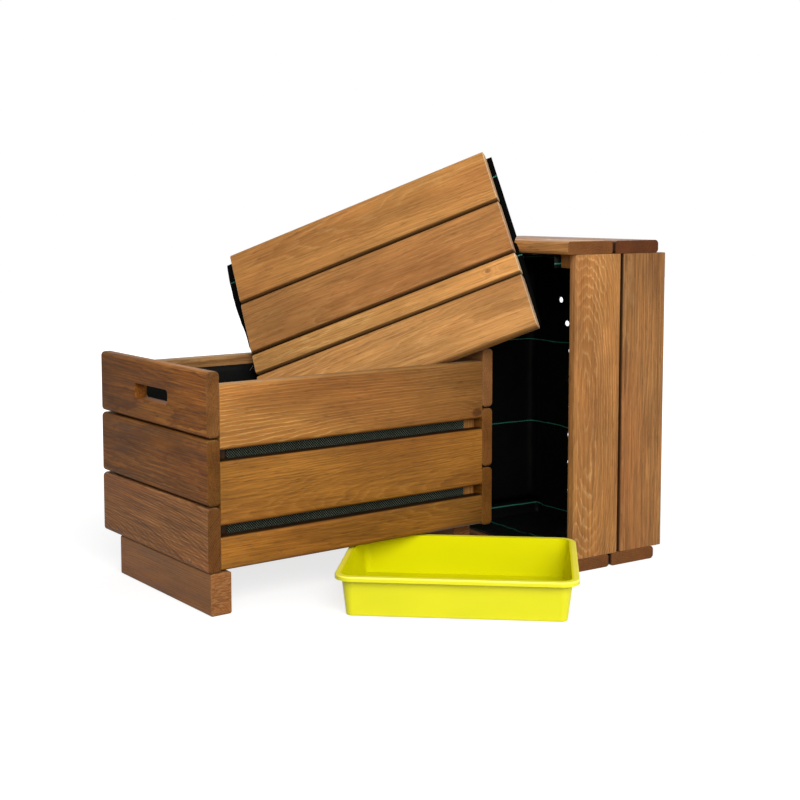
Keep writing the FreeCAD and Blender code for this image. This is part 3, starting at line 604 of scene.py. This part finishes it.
def dressBoard(name, body, draw):
    turn = turnOf(body)
    low, high = ownBox(name, turn)
    extent = high - low
    order = sorted(range(3), key=lambda axis: -extent[axis])
    along, wide = (
        Vector([1 if axis == order[rank] else 0 for axis in range(3)]) for rank in (0, 1)
    )
    thin = along.cross(wide)
    rows = Matrix([turn @ along, turn @ wide, turn @ thin])
    middle = turn @ ((low + high) / 2)
    look = drawnLook(name, draw)
    material, tree, shader = newMaterial("pine_" + name)
    wood = placeGroup(tree, pineGroup, {
        "Place": turnedPlace(tree, rows.to_euler(), -(rows @ middle)),
        "Half Size": Vector([extent[axis] / 2 for axis in order]),
        "Heart": (look["bow"], *look["heart"]),
        "Taper": look["taper"],
        "Ring Width": look["ring"],
        "Contrast": look["contrast"],
        "Pale Lines": look["pale"],
        "Ripple": look["ripple"],
        "Fibre": look["fibre"],
        "Stain": [look["tone"] * part for part in look["stain"]] + [1],
        "Slope": look["toneAndLightSlope"],
        "Seed": look["seed"],
        "Knot": (*look["knot"], 0),
        "Knot Size": look["knotSize"],
        "Saw Marks": look["saw"],
        "Low Edge Shade": look["lowEdgeShade"],
        "Top Edge Highlight": look["topEdge"],
        "Top Shade": look["topShade"],
        "Patches": look["patches"],
        "End Stain": (*look["ends"], 1),
    })
    tree.links.new(wood["Colour"], shader.inputs["Base Color"])
    tree.links.new(wood["Roughness"], shader.inputs["Roughness"])
    gloss, relief = look["finish"]
    shader.inputs["Specular IOR Level"].default_value = gloss
    bumpInto(tree, shader, wood["Height"], relief, pineFinish["relief"])
    dress(name, material)


draw = random.Random(11)
boardWords = ("board", "post", "slat", "skid", "bearer", "cleat")
bodyOfNode = {
    name: body
    for body, members in frame["record"]["behaviour"]["bodies"].items()
    for name in members
}
boards = [name for name in sorted(bodyOfNode) if any(word in name for word in boardWords)]
for name in boards:
    dressBoard(name, bodyOfNode[name], draw)
print("pine on", len(boards), "boards")

# Steel: zinc plated screws and staples, browned nails, and the upper crate's darkened staples

steelLook = {
    "screws": {"bright": shade(186, 180, 168), "dull": shade(120, 112, 100)},
    "nails": {"bright": shade(110, 92, 74), "dull": shade(58, 42, 32)},
    "staples": {"bright": shade(240, 240, 240), "dull": shade(190, 190, 190)},
    # the upper crate's lining staples: darker and duller than the others
    "dimmed": {"bright": shade(70, 60, 52), "dull": shade(34, 28, 24)},
    "rough": (0.28, 0.55),
    "spangle": (900, 900, 900),
    "spangleRange": (0.3, 0.7),
    "stains": (260, 260, 260),
    "stainRange": (0.35, 0.65),
    "relief": (0.2, 0.0001),
}


def makeSteel(kind):
    material, tree, shader = newMaterial("steel_" + kind)
    coordinates = tree.nodes.new("ShaderNodeTexCoord").outputs["Object"]
    spangle = cloud(tree, coordinates, steelLook["spangle"], 3.0, 0.6)
    stains = cloud(tree, coordinates, steelLook["stains"])
    stained = ease(tree, stains, *steelLook["stainRange"])
    colour = blend(tree, stained, steelLook[kind]["bright"], steelLook[kind]["dull"])
    tree.links.new(colour, shader.inputs["Base Color"])
    roughness = ease(tree, spangle, *steelLook["spangleRange"], *steelLook["rough"])
    tree.links.new(roughness, shader.inputs["Roughness"])
    shader.inputs["Metallic"].default_value = 1.0
    bumpInto(tree, shader, spangle, *steelLook["relief"])
    return material


steels = {kind: makeSteel(kind) for kind in ("screws", "nails", "staples", "dimmed")}
for name in sorted(bodyOfNode):
    kind = "dimmed" if name == "upper_lining_staples" else name.rsplit("_", 1)[-1]
    if kind in steels:
        dress(name, steels[kind])
print("steel on the screws, nails and staples")

# Woven black cloth with green marking threads, and a painted glint on the tapes' crowns

weaveLook = {
    "tape": 0.0021,
    "under": 0.45,  # how high the tapes that run the other way stand, of the first ones' height
    "crown": (0.72, 0.95),  # from which height of a tape its crown shows
    "thread": 0.0011,
    "threadCore": 0.6,
    "wander": (9, 9, 9),
    "wobble": 0.009,  # how far the threads stray, in metres
    "twist": 1500.0,
    "twistRange": (-1.0, 0.2, 0.45, 1.0),
    "rough": (0.6, 0.38),
    "relief": (0.5, 0.0003),
    "black": shade(3, 4, 3),
    "green": shade(56, 134, 112),
    # the grey on the tapes' crowns is a painted glint, brighter on the outside, lit in the gaps,
    # than on the shaded inside; the share sets how much of it shows, and shine is how glossy the
    # whole cloth is
    "inside": {"glintGrey": shade(34, 37, 34), "glintShare": 0.5, "shine": 0.08},
    "outside": {"glintGrey": shade(150, 162, 138), "glintShare": 0.55, "shine": 0.06},
    "lid": {"glintGrey": shade(16, 17, 16), "glintShare": 0.2, "shine": 0.015},
}


def makeWeaveGroup():
    tree, given, made = newGroup(
        "woven tapes",
        [
            ("Place", "Vector"), ("Thread Pitch", "Float"), ("Thread Start", "Float"),
            ("Glint Share", "Float"), ("Glint Grey", "Color"),
        ],
        [("Colour", "Color"), ("Roughness", "Float"), ("Height", "Float")],
    )
    u, v, _ = splitXyz(tree, given["Place"])
    tape = weaveLook["tape"]
    acrossTape = math1(tree, "DIVIDE", u, tape)
    alongTape = math1(tree, "DIVIDE", v, tape)
    sides = plus(tree, math1(tree, "FLOOR", acrossTape), math1(tree, "FLOOR", alongTape))
    over = math1(tree, "FLOORED_MODULO", sides, 2.0)
    crownU = math1(tree, "SINE", times(tree, math1(tree, "FRACT", acrossTape), math.pi))
    crownV = math1(tree, "SINE", times(tree, math1(tree, "FRACT", alongTape), math.pi))
    high = times(tree, over, crownV)
    low = times(tree, minus(tree, 1.0, over), crownU)
    height = plus(tree, high, times(tree, low, weaveLook["under"]))

    wobble = minus(tree, cloud(tree, given["Place"], weaveLook["wander"], 1.0), 0.5)
    line = timesPlus(tree, wobble, weaveLook["wobble"], u)
    line = minus(tree, line, given["Thread Start"])
    line = math1(tree, "DIVIDE", line, given["Thread Pitch"])
    offLine = math1(tree, "ABSOLUTE", minus(tree, math1(tree, "FRACT", line), 0.5))
    offLine = times(tree, offLine, given["Thread Pitch"])
    thread = weaveLook["thread"]
    onThread = ease(tree, offLine, thread, thread * weaveLook["threadCore"])
    twist = math1(tree, "SINE", times(tree, v, weaveLook["twist"]))
    onThread = times(tree, onThread, ease(tree, twist, *weaveLook["twistRange"]))

    # the tapes' crowns get a painted glint: grey painted on the black
    shine = times(tree, ease(tree, height, *weaveLook["crown"]), given["Glint Share"])
    colour = blend(tree, shine, weaveLook["black"], given["Glint Grey"])
    colour = blend(tree, onThread, colour, weaveLook["green"])
    tree.links.new(colour, made["Colour"])
    tree.links.new(ease(tree, height, 0.0, 1.0, *weaveLook["rough"]), made["Roughness"])
    tree.links.new(plus(tree, height, onThread), made["Height"])
    return tree


weaveGroup = makeWeaveGroup()


def makeWeave(name, side, pitch, start, turned=False):
    material, tree, shader = newMaterial(name)
    flat = tree.nodes.new("ShaderNodeUVMap")
    flat.uv_map = "flatCloth"
    mapping = tree.nodes.new("ShaderNodeMapping")
    mapping.inputs["Rotation"].default_value = (0, 0, math.pi / 2 if turned else 0)
    tree.links.new(flat.outputs[0], mapping.inputs["Vector"])
    cloth = placeGroup(tree, weaveGroup, {
        "Place": mapping.outputs[0],
        "Thread Pitch": pitch,
        "Thread Start": start,
        "Glint Share": weaveLook[side]["glintShare"],
        "Glint Grey": weaveLook[side]["glintGrey"],
    })
    tree.links.new(cloth["Colour"], shader.inputs["Base Color"])
    tree.links.new(cloth["Roughness"], shader.inputs["Roughness"])
    shader.inputs["Specular IOR Level"].default_value = weaveLook[side]["shine"]
    bumpInto(tree, shader, cloth["Height"], *weaveLook["relief"])
    return material


# The linings: open bags of cloth inside the crates, stapled near the top

bagLook = {
    "notch": 0.022,  # the square that the cloth leaves out at each corner, for the post
    "cell": 0.011,
    "cloth": 0.0006,
    "softSteps": 5,
    "fold": 0.0045,
    "waves": (17, 17, 5),
    "creases": (34, 34, 22),
    "creaseStart": (5, 0, 0),
    "sharp": 6,
    "pinned": 0.03,  # how far below the staples the folds reach their full depth
    "calm": 0.02,  # and how far from a post
    # how far below a lining's highest edge its two long walls and its two end walls stop
    "base_lining": {"sideDrop": 0.0, "endDrop": 0.033},
    "upper_lining": {"sideDrop": 0.027, "endDrop": 0.0},
}


def cutAcross(bm, axis, place):
    normal = Vector([1 if index == axis else 0 for index in range(3)])
    geometry = bm.verts[:] + bm.edges[:] + bm.faces[:]
    bmesh.ops.bisect_plane(bm, geom=geometry, plane_co=normal * place, plane_no=normal)


def cutCells(bm, low, high, cell):
    for axis in range(3):
        steps = max(1, round((high[axis] - low[axis]) / cell))
        for step in range(1, steps):
            cutAcross(bm, axis, low[axis] + (high[axis] - low[axis]) * step / steps)


def raiseEdges(bm, edges, rise):
    grown = bmesh.ops.extrude_edge_only(bm, edges=edges)["geom"]
    raised = [item for item in grown if isinstance(item, bmesh.types.BMVert)]
    bmesh.ops.translate(bm, verts=raised, vec=(0, 0, rise))


def pastPosts(point, middle, inX, inY):
    # how far a point lies past the posts' inner sides, along and across
    return abs(point.x - middle.x) - inX, abs(point.y - middle.y) - inY


def openBag(low, high, inX, inY, sideTop, endTop):
    # a floor without its corners, and four walls raised from it, one pair higher
    notch = bagLook["notch"]
    middle = (low + high) / 2
    evenTop = min(sideTop, endTop)
    bm = bmesh.new()
    bmesh.ops.create_grid(bm, x_segments=1, y_segments=1, size=0.5)
    bmesh.ops.scale(bm, verts=bm.verts, vec=(high.x - low.x, high.y - low.y, 1))
    bmesh.ops.translate(bm, verts=bm.verts, vec=(middle.x, middle.y, low.z))
    for axis in (0, 1):
        cutAcross(bm, axis, low[axis] + notch)
        cutAcross(bm, axis, high[axis] - notch)
    corners = [
        face for face in bm.faces
        if min(pastPosts(face.calc_center_median(), middle, inX, inY)) > 0
    ]
    bmesh.ops.delete(bm, geom=corners, context="FACES")
    raiseEdges(bm, [edge for edge in bm.edges if edge.is_boundary], evenTop - low.z)
    axis, reach, rise = (0, inX, sideTop) if sideTop > endTop else (1, inY, endTop)
    taller = [
        edge for edge in bm.edges
        if edge.is_boundary
        and all(abs(vertex.co[axis] - middle[axis]) < reach + 0.001 for vertex in edge.verts)
    ]
    raiseEdges(bm, taller, rise - evenTop)
    bmesh.ops.recalc_face_normals(bm, faces=bm.faces)
    floorFace = min(bm.faces, key=lambda face: face.calc_center_median().z)
    if floorFace.normal.z < 0:
        bmesh.ops.reverse_faces(bm, faces=bm.faces)
    bm.normal_update()
    return bm


def layFlat(bm, low, high):
    # where each point was on the cloth before it was folded into a bag
    layer = bm.loops.layers.uv.new("flatCloth")
    middle = (low + high) / 2
    for face in bm.faces:
        normal = face.normal
        for loop in face.loops:
            point = loop.vert.co
            up = point.z - low.z
            if abs(normal.x) > 0.5:
                onEnd = -1 if point.x < middle.x else 1
                place = (middle.x + onEnd * ((high.x - low.x) / 2 + up), point.y)
            elif abs(normal.y) > 0.5:
                onSide = -1 if point.y < middle.y else 1
                place = (point.x, middle.y + onSide * ((high.y - low.y) / 2 + up))
            else:
                place = (point.x, point.y)
            loop[layer].uv = place


def softenBag(bm, middle, inX, inY):
    # rounds the bag's corners, but leaves the cloth by the posts and the open edge
    free = [
        vertex for vertex in bm.verts
        if not vertex.is_boundary
        and min(pastPosts(vertex.co, middle, inX, inY)) <= -bagLook["cell"]
    ]
    for _ in range(bagLook["softSteps"]):
        bmesh.ops.smooth_vert(
            bm, verts=free, factor=0.5, use_axis_x=True, use_axis_y=True, use_axis_z=True,
        )
    bm.normal_update()


def foldBag(bm, middle, inX, inY, sideTop, endTop):
    # folds, which fade out at the stapled edge and near the posts
    waves = Vector(bagLook["waves"])
    creases = Vector(bagLook["creases"])
    creaseStart = Vector(bagLook["creaseStart"])
    calm = bagLook["calm"]
    moves = []
    for vertex in bm.verts:
        point = vertex.co
        pastX, pastY = pastPosts(point, middle, inX, inY)
        top = sideTop if pastX < 0 else endTop
        loose = min(1, max(0, (top - point.z) / bagLook["pinned"]))
        loose *= min(1, max(0, -max(min(pastX, pastY), -calm) / calm))
        wave = noise.noise(point * waves)
        crease = 1 - abs(noise.noise(point * creases + creaseStart))
        depth = bagLook["fold"] * (0.5 + 0.5 * wave + 0.5 * crease ** bagLook["sharp"])
        moves.append((vertex, vertex.normal * depth * loose))
    for vertex, move in moves:
        vertex.co += move


def giveWall(piece, thickness):
    # the cloth's thickness, its outer side in the last material
    piece.data.shade_smooth()
    wall = piece.modifiers.new("cloth", "SOLIDIFY")
    wall.thickness = thickness
    wall.offset = 1
    wall.material_offset = len(piece.data.materials) - 1


def makeBag(name, body, node, inside, outside, holes=False):
    turn = turnOf(body)
    low, high = ownBox(node, turn)
    middle = (low + high) / 2
    inX = (high.x - low.x) / 2 - bagLook["notch"]
    inY = (high.y - low.y) / 2 - bagLook["notch"]
    sideTop = high.z - bagLook[node]["sideDrop"]
    endTop = high.z - bagLook[node]["endDrop"]
    bm = openBag(low, high, inX, inY, sideTop, endTop)
    layFlat(bm, low, high)
    flatArea = sum(face.calc_area() for face in bm.faces)
    cutCells(bm, low, high, bagLook["cell"])
    softenBag(bm, middle, inX, inY)
    foldBag(bm, middle, inX, inY, sideTop, endTop)
    bm.transform(turn.to_4x4())
    piece = pieceFrom(bm, name, inside, outside)
    giveWall(piece, bagLook["cloth"])
    if holes:
        punchHoles(piece, node, turn)
    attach(piece, body)
    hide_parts(node)
    return piece, flatArea, high - low


# The upper crate's floor cloth has two rows of punched holes, two of them off the line in a rumple
punchLook = {
    "radius": 0.005, "segments": 20, "depth": 0.05,
    "pitch": 0.05, "rows": 9, "shift": 0.013, "apart": 0.078,
    "rumpled": {6: (-0.001, 0.009), 7: (-0.010, 0.026)},
}


def punchHoles(piece, node, turn):
    low, high = ownBox(node, turn)
    middle = (low + high) / 2
    radius = punchLook["radius"]
    bm = bmesh.new()
    for row in range(punchLook["rows"]):
        steps = row - (punchLook["rows"] - 1) / 2
        along = middle.x + punchLook["shift"] + steps * punchLook["pitch"]
        for side in (-0.5, 0.5):
            moved = punchLook["rumpled"].get(row, (0, 0)) if side > 0 else (0, 0)
            across = middle.y + side * punchLook["apart"] + moved[1]
            place = Matrix.Translation((along + moved[0], across, low.z))
            bmesh.ops.create_cone(
                bm, cap_ends=True, segments=punchLook["segments"], radius1=radius, radius2=radius,
                depth=punchLook["depth"], matrix=place,
            )
    bm.transform(turn.to_4x4())
    punch = pieceFrom(bm, "punch")
    cut = piece.modifiers.new("holes", "BOOLEAN")
    cut.operation = "DIFFERENCE"
    cut.object = punch
    cut.solver = "EXACT"
    settled = bpy.context.evaluated_depsgraph_get()
    made = bpy.data.meshes.new_from_object(piece.evaluated_get(settled))
    piece.modifiers.clear()
    piece.data = made
    bpy.data.objects.remove(punch)


# How far apart the green threads run, and where they start on each cloth, in metres
threads = {"pitch": 0.151, "baseStart": 0.0, "upperStart": -0.0355, "lidStart": -0.055}
baseInside, baseOutside = (
    makeWeave(
        "lining_weave_base_" + side, side, threads["pitch"], threads["baseStart"], turned=True,
    )
    for side in ("inside", "outside")
)
upperCloth = makeWeave("lining_weave_upper", "inside", threads["pitch"], threads["upperStart"])
baseBag, baseArea, baseSpan = makeBag(
    "base_lining_bag", "base_crate", "base_lining", baseInside, baseOutside,
)
upperBag, upperArea, upperSpan = makeBag(
    "upper_lining_bag", "upper_crate", "upper_lining", upperCloth, upperCloth, holes=True,
)
print("linings made")

# The lid's cloth, stapled under its boards and hanging out past both ends

lidClothLook = {
    # how far the cloth hangs out past each end, at heights up the lid
    "leftEdge": (
        (0, 0.001), (0.13, 0.001), (0.15, 0.009), (0.175, 0.010), (0.23, 0.0175), (0.285, 0.019),
        (0.325, 0.017),
    ),
    "rightEdge": ((0, 0.002), (0.006, 0.004), (0.04, 0.0055), (0.09, 0.008), (0.13, 0.009)),
    # the right margin is trimmed in small steps until it clears the upper crate, or little is left
    "trim": 0.0005,
    "clear": 0.0015,
    "kept": 0.0025,
    "cloth": 0.0006,
    "cell": 0.009,
    "wave": 0.0022,
    "waveEvery": (20, 24),
    "loose": 0.01,  # how far out the waves reach their full height
    "ragged": 0.0009,
    "raggedEvery": 300,
}


def edgeOut(steps, y):
    # how far the cloth hangs out past an end of the lid, at a height up the lid
    for (lowY, lowOut), (highY, highOut) in zip(steps, steps[1:]):
        if y <= highY:
            share = max(0, (y - lowY) / (highY - lowY))
            return lowOut + (highOut - lowOut) * share
    return steps[-1][1]


def rimTree():
    # the upper crate's boards, which the cloth's right margin is trimmed round
    bm = bmesh.new()
    for name in boards:
        if name.startswith("upper_"):
            bm.from_mesh(nodes[name].data)
    tree = BVHTree.FromBMesh(bm)
    bm.free()
    return tree


def makeLidCloth(name, node, material):
    turn = turnOf("lid")
    low, high = ownBox(node, turn)
    board = ownBox("lid_front_board", turn)
    leftEnd = board[0].x
    rightEnd = board[1].x
    level = (low.z + high.z) / 2 - lidClothLook["cloth"] / 2
    mostLeft = max(out for _, out in lidClothLook["leftEdge"])
    mostRight = max(out for _, out in lidClothLook["rightEdge"])
    left = leftEnd - mostLeft
    right = rightEnd + mostRight
    bm = bmesh.new()
    corners = [(left, low.y), (right, low.y), (right, high.y), (left, high.y)]
    bm.faces.new([bm.verts.new((x, y, level)) for x, y in corners])
    bm.normal_update()
    lowCorner = Vector((left, low.y, low.z))
    cutCells(bm, lowCorner, Vector((right, high.y, high.z)), lidClothLook["cell"])
    for edge in (leftEnd, rightEnd):
        cutAcross(bm, 0, edge)

    # both margins are drawn in to their outlines, and the right one clear of the upper crate
    rim = rimTree()
    for vertex in bm.verts:
        point = vertex.co
        if point.x < leftEnd:
            share = edgeOut(lidClothLook["leftEdge"], point.y - low.y) / mostLeft
            point.x = leftEnd + (point.x - leftEnd) * share
        if point.x > rightEnd:
            share = edgeOut(lidClothLook["rightEdge"], point.y - low.y) / mostRight
            point.x = rightEnd + (point.x - rightEnd) * share
        while point.x > rightEnd + lidClothLook["kept"]:
            if rim.find_nearest(turn @ point)[3] > lidClothLook["clear"]:
                break
            point.x -= lidClothLook["trim"]
    layer = bm.loops.layers.uv.new("flatCloth")
    for face in bm.faces:
        for loop in face.loops:
            loop[layer].uv = (loop.vert.co.x - low.x, loop.vert.co.y - low.y)
    area = sum(face.calc_area() for face in bm.faces)

    # the margins wave, and the left one is frayed
    waveX, waveY = lidClothLook["waveEvery"]
    every = lidClothLook["raggedEvery"]
    for vertex in bm.verts:
        point = vertex.co
        out = max(0, leftEnd - point.x, point.x - rightEnd)
        wave = noise.noise(Vector((point.x * waveX, point.y * waveY, 3)))
        ragged = noise.noise(Vector((7, point.y * every, point.x * every)))
        free = min(1, out / lidClothLook["loose"])
        point.z += wave * lidClothLook["wave"] * free
        if vertex.is_boundary and point.x < leftEnd:
            point.x += ragged * lidClothLook["ragged"]
    bm.transform(turn.to_4x4())
    piece = pieceFrom(bm, name, material)
    giveWall(piece, lidClothLook["cloth"])
    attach(piece, "lid")
    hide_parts(node)


lidWeave = makeWeave("lid_weave", "lid", threads["pitch"], threads["lidStart"], turned=True)
makeLidCloth("lid_cloth_stapled", "lid_cloth", lidWeave)
print("lid cloth made")

# Yellow moulded plastic for the drip tray, with painted shade inside the bowl and a painted
# highlight on the rim

trayLook = {
    "yellow": shade(230, 224, 6),
    "green": shade(222, 218, 2),
    "rimHighlightYellow": shade(248, 243, 78),
    "shadedInsideYellow": shade(214, 210, 2),
    "shadedInsideGreen": shade(208, 206, 1),
    "rough": (0.36, 0.46),
    "gloss": 0.05,
    "coat": {"outside": 0.62, "rim": 1.0, "bend": 1.7, "rough": 0.4},
    "flow": (7, 7, 18),
    "flowRange": (0.3, 0.7),
    "rub": (24, 24, 40),
    "rubRange": (0.35, 0.7),
    "relief": (0.1, 0.0004),
    # its shape: the straight parts' half lengths, the foot's corner, flare, wall and rim
    "straight": (0.1485, 0.106),
    "corner": 0.010,
    "flare": 0.124,
    "wall": 0.002,
    "wallRange": (0.3, 0.8),  # between which parts of the wall the outside's colour gives way to the inside's painted shade
    "rimHeight": 0.0612,
    "rimFrom": 0.003,  # how far below its top the rim's painted highlight starts
    "rimFull": 0.0008,
}


def makeTrayPlastic():
    material, tree, shader = newMaterial("tray_plastic")
    turn = turnOf("tray")
    low, high = ownBox("drip_tray", turn)
    middle = (low + high) / 2
    place = turnedPlace(tree, turn.inverted().to_euler(), (-middle.x, -middle.y, -low.z))
    flow = ease(tree, cloud(tree, place, trayLook["flow"]), *trayLook["flowRange"])
    rub = cloud(tree, place, trayLook["rub"])

    # how deep a point is inside the wall's outer face, and whether it is in the bowl or on the rim
    x, y, z = splitXyz(tree, math3(tree, "ABSOLUTE", place))
    straightX, straightY = trayLook["straight"]
    pastX = math1(tree, "MAXIMUM", minus(tree, x, straightX), 0.0)
    pastY = math1(tree, "MAXIMUM", minus(tree, y, straightY), 0.0)
    corner = timesPlus(tree, z, trayLook["flare"], trayLook["corner"])
    depth = minus(tree, corner, math3(tree, "LENGTH", joinXyz(tree, pastX, pastY, 0.0)))
    wall = trayLook["wall"]
    start, end = (wall * part for part in trayLook["wallRange"])
    inside = times(tree, ease(tree, depth, start, end), ease(tree, z, start, end))
    top = trayLook["rimHeight"]
    onRim = ease(tree, z, top - trayLook["rimFrom"], top - trayLook["rimFull"])
    onRim = times(tree, onRim, ease(tree, depth, 0.0, -wall))

    outer = blend(tree, flow, trayLook["yellow"], trayLook["green"])
    # the rim gets a paler yellow: a painted highlight
    outer = blend(tree, onRim, outer, trayLook["rimHighlightYellow"])
    # the bowl's inside gets darker yellows: painted shade
    shadedInner = blend(tree, flow, trayLook["shadedInsideYellow"], trayLook["shadedInsideGreen"])
    tree.links.new(blend(tree, inside, outer, shadedInner), shader.inputs["Base Color"])
    coat = trayLook["coat"]
    gloss = ease(tree, inside, 0.0, 1.0, coat["outside"], 0.0)
    gloss = math1(tree, "MAXIMUM", gloss, times(tree, onRim, coat["rim"]))
    tree.links.new(gloss, shader.inputs["Coat Weight"])
    shader.inputs["Coat IOR"].default_value = coat["bend"]
    shader.inputs["Coat Roughness"].default_value = coat["rough"]
    shader.inputs["Specular IOR Level"].default_value = trayLook["gloss"]
    roughness = ease(tree, rub, *trayLook["rubRange"], *trayLook["rough"])
    tree.links.new(roughness, shader.inputs["Roughness"])
    bumpInto(tree, shader, rub, *trayLook["relief"])
    return material


dress("drip_tray", makeTrayPlastic())
print("tray plastic made")

# Floor, background and soft studio lamps

studioLook = {
    "fill": 0.36,  # how much light the world gives the set
    "floor": shade(160, 160, 160),
    "floorRough": 0.9,
    "floorSize": 14,
    # the floor's own white, near the set and far from it, and the distances between which it grows
    "nearGlow": 0.76,
    "farGlow": 1.1,
    "whiteFrom": 0.5,
    "whiteTo": 1.4,
    "lamps": (
        {"name": "key", "from": (-1.2, -2.4, 1.7), "size": 1.8, "share": 0.82},
        {"name": "front", "from": (0.5, -2.7, 0.9), "size": 2.0, "share": 0.28},
        {"name": "back", "from": (1.8, 2.0, 2.2), "size": 2.0, "share": 0.15},
    ),
}


def seenRays(tree):
    # camera, mirror and glass rays all see the same white
    path = tree.nodes.new("ShaderNodeLightPath")
    seen = plus(tree, path.outputs["Is Camera Ray"], path.outputs["Is Glossy Ray"])
    return math1(tree, "ADD", seen, path.outputs["Is Transmission Ray"], clamp=True)


def makeStudio():
    bm = bmesh.new()
    bmesh.ops.create_grid(bm, x_segments=4, y_segments=4, size=studioLook["floorSize"] / 2)
    material, tree, shader = newMaterial("studio_floor")
    floor = pieceFrom(bm, "floor", material)
    shader.inputs["Base Color"].default_value = studioLook["floor"]
    shader.inputs["Roughness"].default_value = studioLook["floorRough"]
    shader.inputs["Specular IOR Level"].default_value = 0.0
    shader.inputs["Emission Color"].default_value = (1, 1, 1, 1)
    coordinates = tree.nodes.new("ShaderNodeTexCoord").outputs["Object"]
    glow = ease(
        tree, math3(tree, "LENGTH", coordinates), studioLook["whiteFrom"], studioLook["whiteTo"],
        studioLook["nearGlow"], studioLook["farGlow"],
    )
    glow = times(tree, glow, seenRays(tree))
    tree.links.new(glow, shader.inputs["Emission Strength"])

    world = bpy.data.worlds.new("studio")
    world.use_nodes = True
    bpy.context.scene.world = world
    tree = world.node_tree
    background = tree.nodes["Background"]
    background.inputs["Color"].default_value = (1, 1, 1, 1)
    strength = ease(tree, seenRays(tree), 0.0, 1.0, studioLook["fill"], 1.0)
    tree.links.new(strength, background.inputs["Strength"])

    for lamp in studioLook["lamps"]:
        data = bpy.data.lights.new(lamp["name"], "AREA")
        data.size = lamp["size"]
        place = Vector(lamp["from"])
        # the power grows with the distance, so that a lamp's share alone sets how bright it is
        data.energy = lamp["share"] * math.pi ** 2 * place.length_squared
        light = linkNew(lamp["name"], data)
        light.location = place
        light.rotation_euler = (-place).to_track_quat("-Z", "Y").to_euler()


makeStudio()
bpy.context.scene.view_settings.view_transform = "Standard"
print("studio made")
